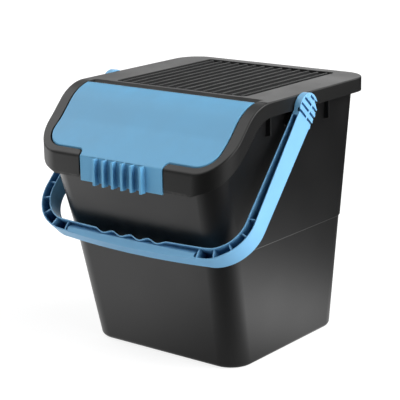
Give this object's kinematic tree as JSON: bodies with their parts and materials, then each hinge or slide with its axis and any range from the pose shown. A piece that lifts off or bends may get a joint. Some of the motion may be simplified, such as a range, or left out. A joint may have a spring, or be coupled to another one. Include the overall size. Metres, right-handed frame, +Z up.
{
  "type": "waste bin",
  "caption": "Tapered plastic waste bin with a clip-on lid, a lift-up front flap with a finned grip, a ribbed stacking top and a channel-section carrying handle.",
  "frame": {"origin": "middle of the object's bounding box at the floor, with the bucket standing on Z = 0", "axes": "+Z up, -Y towards the front with the flap and the handle's bar, +X to the viewer's right facing the front; X = 0 is the plane of symmetry"},
  "size_m": [0.357, 0.36, 0.3618],
  "materials": {
    "body_plastic": "satin black moulded polypropylene",
    "lid_plastic": "fine-grained black moulded polypropylene",
    "flap_plastic": "fine-grained light blue moulded polypropylene",
    "handle_plastic": "satin light blue moulded polypropylene"
  },
  "bodies": {
    "bin": {"bucket": "body_plastic", "lid_frame": "lid_plastic"},
    "door": {"flap": "flap_plastic"},
    "bail": {"carry_handle": "handle_plastic"}
  },
  "joints": [
    {"name": "flap_hinge", "type": "hinge", "parent": "bin", "child": "door", "pos_m": [0, -0.07374, 0.35266], "axis": [-1, 0, 0], "range_deg": [0, 95]},
    {"name": "handle_swing", "type": "hinge", "parent": "bin", "child": "bail", "pos_m": [0, -0.0073, 0.3276], "axis": [-1, 0, 0], "range_deg": [0, 258]}
  ]
}
